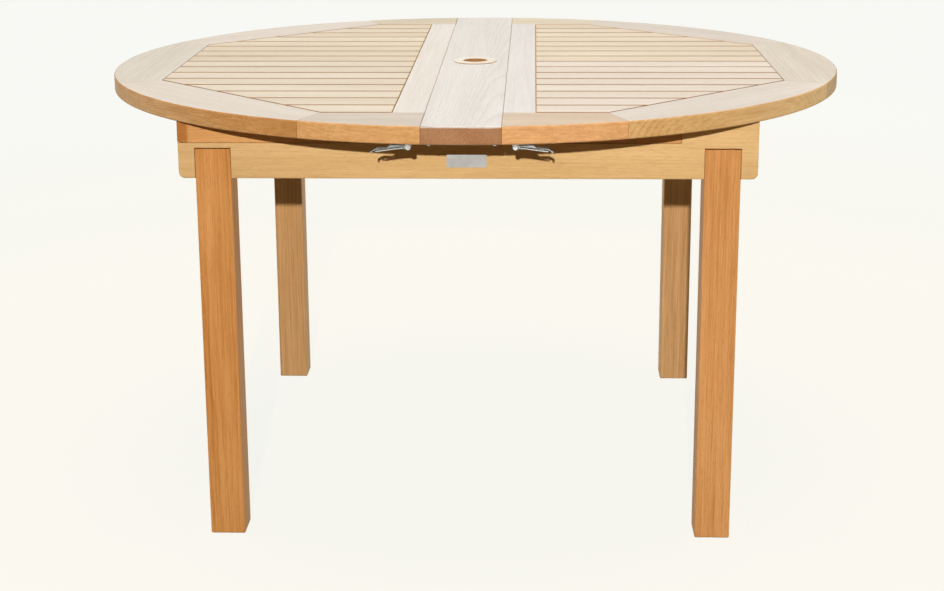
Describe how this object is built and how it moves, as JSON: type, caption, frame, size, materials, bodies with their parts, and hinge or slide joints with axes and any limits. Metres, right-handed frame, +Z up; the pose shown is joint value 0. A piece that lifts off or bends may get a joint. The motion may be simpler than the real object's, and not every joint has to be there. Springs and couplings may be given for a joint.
{
  "type": "extending table",
  "caption": "Round wooden garden dining table with a parasol hole; its half tops slide out from a fixed centre board to make room for stored leaves.",
  "frame": {"origin": "on the floor under the middle of the closed round top", "axes": "+Z up through the parasol hole; +X to the viewer's right, the way the right half slides; -Y to the front, where the bare metal plate is"},
  "size_m": [1.3, 1.2998, 0.7445],
  "materials": {
    "top_wood": "bare solid wood, sanded and sun-bleached",
    "frame_wood": "bare solid wood, planed and sanded",
    "inner_wood": "bare solid wood, planed",
    "latch_steel": "pressed stainless steel, satin",
    "wire_steel": "drawn stainless wire, bright",
    "screw_steel": "zinc-plated or stainless, satin",
    "hinge_brass": "satin brass",
    "plate_metal": "brushed, bare"
  },
  "bodies": {
    "frame": {"back_apron": "frame_wood", "back_guide_strip": "inner_wood", "back_ledge": "inner_wood", "back_left_leg": "frame_wood", "back_right_leg": "frame_wood", "centre_board": "top_wood", "centre_board_brackets": "latch_steel", "corner_blocks": "inner_wood", "frame_screws": "screw_steel", "front_apron": "frame_wood", "front_guide_strip": "inner_wood", "front_ledge": "inner_wood", "front_left_leg": "frame_wood", "front_right_leg": "frame_wood", "latch_keepers": "latch_steel", "leaf_bearers": "inner_wood", "leaf_hinges": "hinge_brass", "leaf_lower_panels": "top_wood", "leaf_upper_panels": "top_wood", "left_cross_rail": "inner_wood", "left_end_rail": "frame_wood", "leg_bolts": "screw_steel", "name_plate": "plate_metal", "name_plate_pins": "screw_steel", "parasol_ring": "top_wood", "right_cross_rail": "inner_wood", "right_end_rail": "frame_wood"},
    "left_half": {"left_rim_sides": "top_wood", "left_rim_corners": "top_wood", "left_rim_end": "top_wood", "left_stile": "top_wood", "left_slats": "top_wood", "left_battens": "inner_wood", "left_outer_rail": "frame_wood", "left_inner_rail": "frame_wood", "left_stop_block": "inner_wood", "left_latch_bases": "latch_steel", "left_latch_pins": "latch_steel", "left_screws": "screw_steel"},
    "right_half": {"right_rim_sides": "top_wood", "right_rim_corners": "top_wood", "right_rim_end": "top_wood", "right_stile": "top_wood", "right_slats": "top_wood", "right_battens": "inner_wood", "right_outer_rail": "frame_wood", "right_inner_rail": "frame_wood", "right_stop_block": "inner_wood", "right_latch_bases": "latch_steel", "right_latch_pins": "latch_steel", "right_screws": "screw_steel"},
    "left_front_lever": {"left_front_lever": "latch_steel"},
    "left_front_bail": {"left_front_bail": "wire_steel"},
    "left_back_lever": {"left_back_lever": "latch_steel"},
    "left_back_bail": {"left_back_bail": "wire_steel"},
    "right_front_lever": {"right_front_lever": "latch_steel"},
    "right_front_bail": {"right_front_bail": "wire_steel"},
    "right_back_lever": {"right_back_lever": "latch_steel"},
    "right_back_bail": {"right_back_bail": "wire_steel"}
  },
  "joints": [
    {"name": "left_half_slide", "type": "slide", "parent": "frame", "child": "left_half", "axis": [-1, 0, 0], "range_m": [0, 0.25]},
    {"name": "right_half_slide", "type": "slide", "parent": "frame", "child": "right_half", "axis": [1, 0, 0], "range_m": [0, 0.25]},
    {"name": "left_front_lever_pivot", "type": "hinge", "parent": "left_half", "child": "left_front_lever", "pos_m": [-0.08, -0.615, 0.7055], "axis": [0, -1, 0], "range_deg": [0, 90]},
    {"name": "left_front_bail_pivot", "type": "hinge", "parent": "left_front_lever", "child": "left_front_bail", "pos_m": [-0.088, -0.615, 0.7055], "axis": [0, -1, 0], "range_deg": [0, 82]},
    {"name": "left_back_lever_pivot", "type": "hinge", "parent": "left_half", "child": "left_back_lever", "pos_m": [-0.08, 0.615, 0.7055], "axis": [0, -1, 0], "range_deg": [0, 90]},
    {"name": "left_back_bail_pivot", "type": "hinge", "parent": "left_back_lever", "child": "left_back_bail", "pos_m": [-0.088, 0.615, 0.7055], "axis": [0, -1, 0], "range_deg": [0, 82]},
    {"name": "right_front_lever_pivot", "type": "hinge", "parent": "right_half", "child": "right_front_lever", "pos_m": [0.08, -0.615, 0.7055], "axis": [0, 1, 0], "range_deg": [0, 90]},
    {"name": "right_front_bail_pivot", "type": "hinge", "parent": "right_front_lever", "child": "right_front_bail", "pos_m": [0.088, -0.615, 0.7055], "axis": [0, 1, 0], "range_deg": [0, 82]},
    {"name": "right_back_lever_pivot", "type": "hinge", "parent": "right_half", "child": "right_back_lever", "pos_m": [0.08, 0.615, 0.7055], "axis": [0, 1, 0], "range_deg": [0, 90]},
    {"name": "right_back_bail_pivot", "type": "hinge", "parent": "right_back_lever", "child": "right_back_bail", "pos_m": [0.088, 0.615, 0.7055], "axis": [0, 1, 0], "range_deg": [0, 82]}
  ]
}
